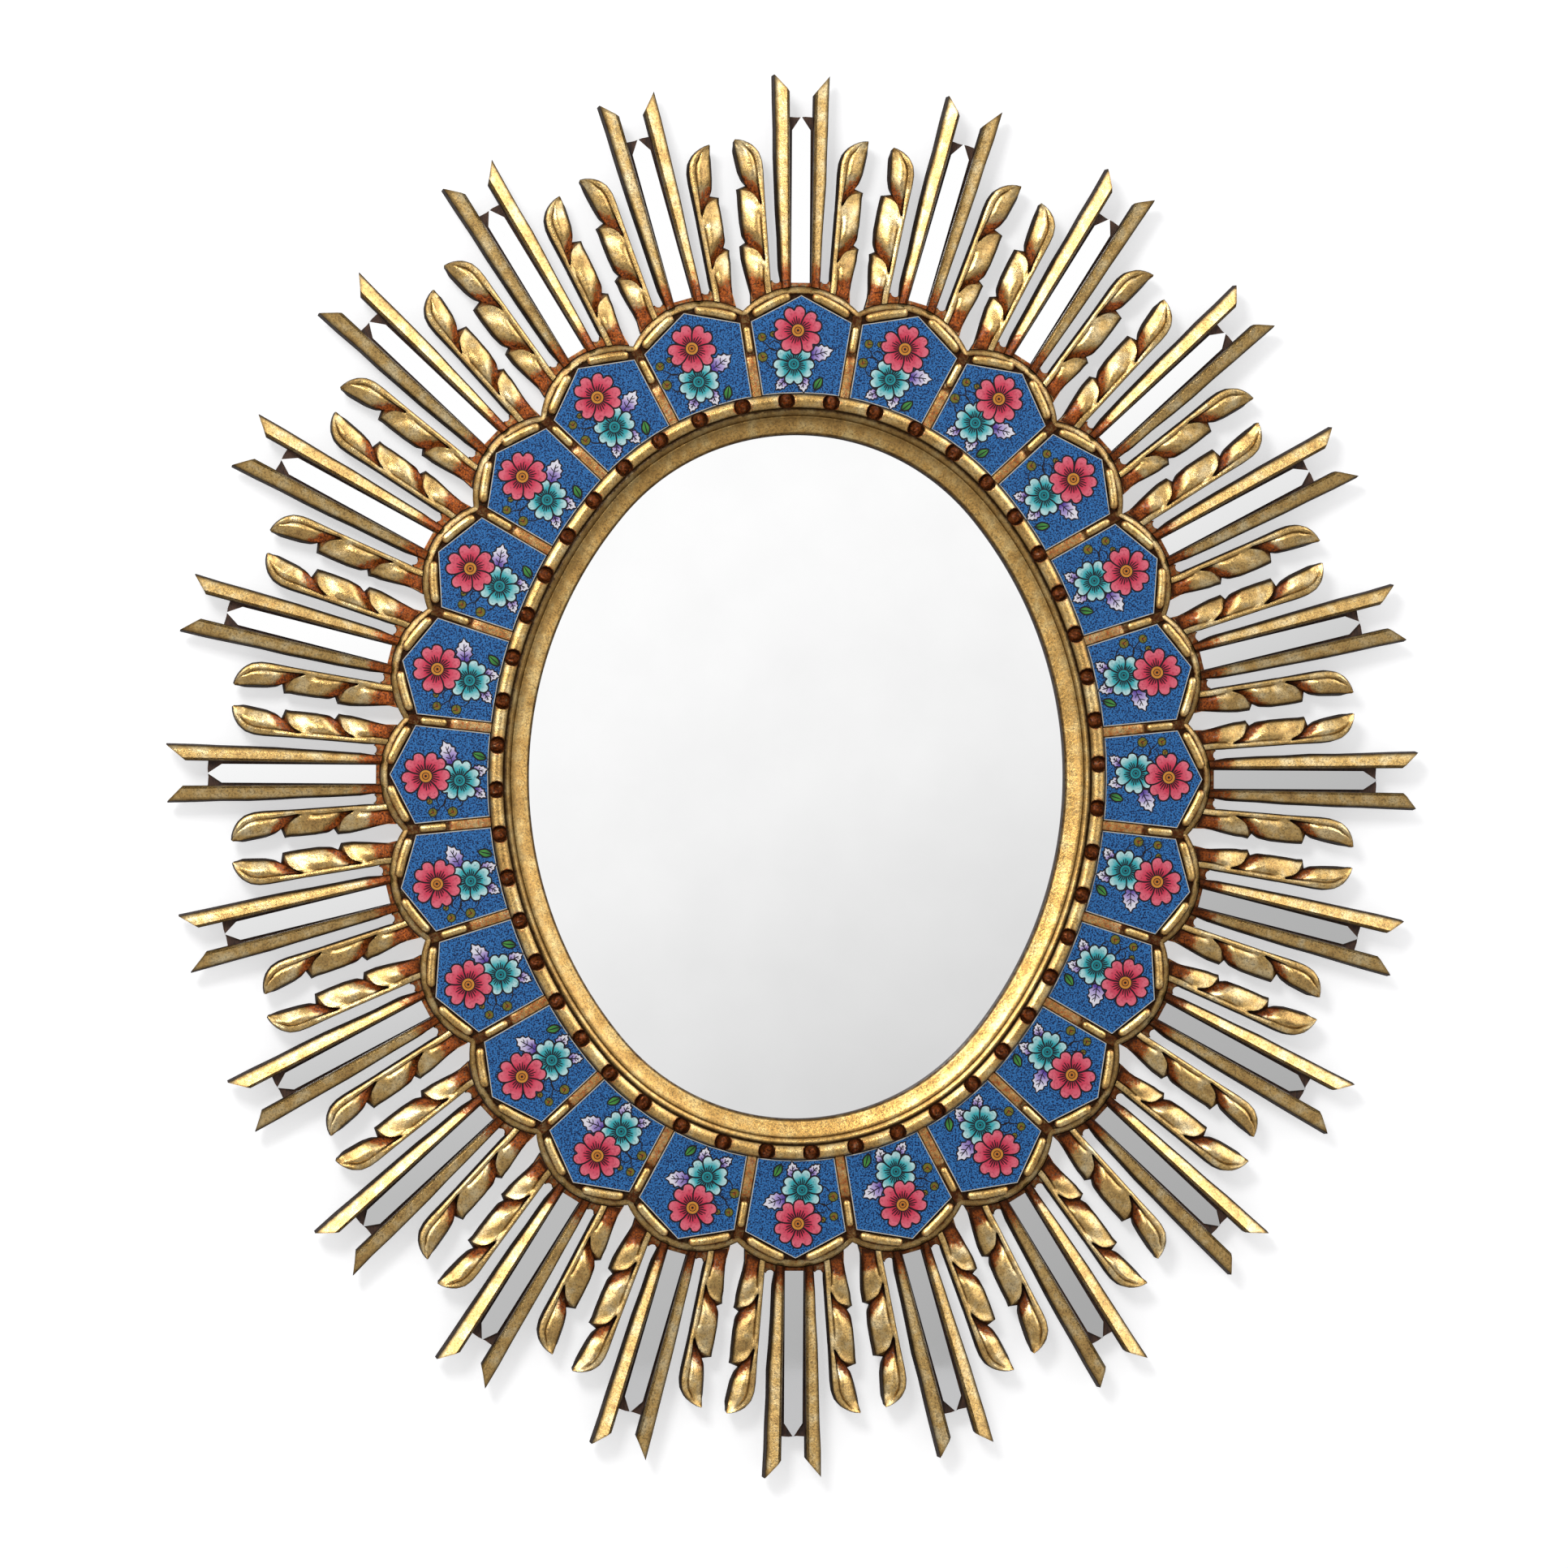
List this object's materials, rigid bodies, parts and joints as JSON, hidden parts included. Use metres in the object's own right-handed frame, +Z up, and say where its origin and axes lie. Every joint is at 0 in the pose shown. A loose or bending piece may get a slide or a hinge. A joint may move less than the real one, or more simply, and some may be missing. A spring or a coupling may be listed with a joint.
{
  "type": "reverse painted glass mirror",
  "caption": "Oval sunburst wall mirror: carved gilded rays and leaves round reverse painted glass tiles and a bead and reel moulding.",
  "frame": {"origin": "centre of the oval on the rear face of the back panel, which lies on the wall", "axes": "+Z up, +X to the right as seen from the front, and the mirror faces -Y"},
  "size_m": [0.6258, 0.0225, 0.6988],
  "materials": {
    "gilded_wood": "worn gold leaf over red bole",
    "painted_glass": "gloss glass painted blue behind",
    "mirror": "silvered glass",
    "pine_board": "sawn and stained",
    "panel_board": "raw board",
    "grey_card": "pressed card",
    "plated_steel": "zinc plated"
  },
  "bodies": {
    "frame": {"back_panel": "panel_board", "packing_card": "grey_card", "mirror_glass": "mirror", "frame_board": "pine_board", "sight_moulding": "gilded_wood", "bead_moulding": "gilded_wood", "tile_surround": "gilded_wood", "ray_segment_01": "gilded_wood", "ray_segment_02": "gilded_wood", "ray_segment_03": "gilded_wood", "ray_segment_04": "gilded_wood", "ray_segment_05": "gilded_wood", "ray_segment_06": "gilded_wood", "ray_segment_07": "gilded_wood", "ray_segment_08": "gilded_wood", "ray_segment_09": "gilded_wood", "ray_segment_10": "gilded_wood", "ray_segment_11": "gilded_wood", "ray_segment_12": "gilded_wood", "ray_segment_13": "gilded_wood", "ray_segment_14": "gilded_wood", "ray_segment_15": "gilded_wood", "ray_segment_16": "gilded_wood", "ray_segment_17": "gilded_wood", "ray_segment_18": "gilded_wood", "ray_segment_19": "gilded_wood", "ray_segment_20": "gilded_wood", "ray_segment_21": "gilded_wood", "ray_segment_22": "gilded_wood", "ray_segment_23": "gilded_wood", "ray_segment_24": "gilded_wood", "glass_tile_01": "painted_glass", "glass_tile_02": "painted_glass", "glass_tile_03": "painted_glass", "glass_tile_04": "painted_glass", "glass_tile_05": "painted_glass", "glass_tile_06": "painted_glass", "glass_tile_07": "painted_glass", "glass_tile_08": "painted_glass", "glass_tile_09": "painted_glass", "glass_tile_10": "painted_glass", "glass_tile_11": "painted_glass", "glass_tile_12": "painted_glass", "glass_tile_13": "painted_glass", "glass_tile_14": "painted_glass", "glass_tile_15": "painted_glass", "glass_tile_16": "painted_glass", "glass_tile_17": "painted_glass", "glass_tile_18": "painted_glass", "glass_tile_19": "painted_glass", "glass_tile_20": "painted_glass", "glass_tile_21": "painted_glass", "glass_tile_22": "painted_glass", "glass_tile_23": "painted_glass", "glass_tile_24": "painted_glass", "mirror_slivers": "mirror", "back_screws": "plated_steel", "hanger_strap": "plated_steel"},
    "hanger": {"hanger_ring": "plated_steel"}
  },
  "joints": [
    {"name": "hanger_swing", "type": "hinge", "parent": "frame", "child": "hanger", "pos_m": [0, -0.0026, 0.217], "axis": [-1, 0, 0], "range_deg": [0, 165]}
  ]
}
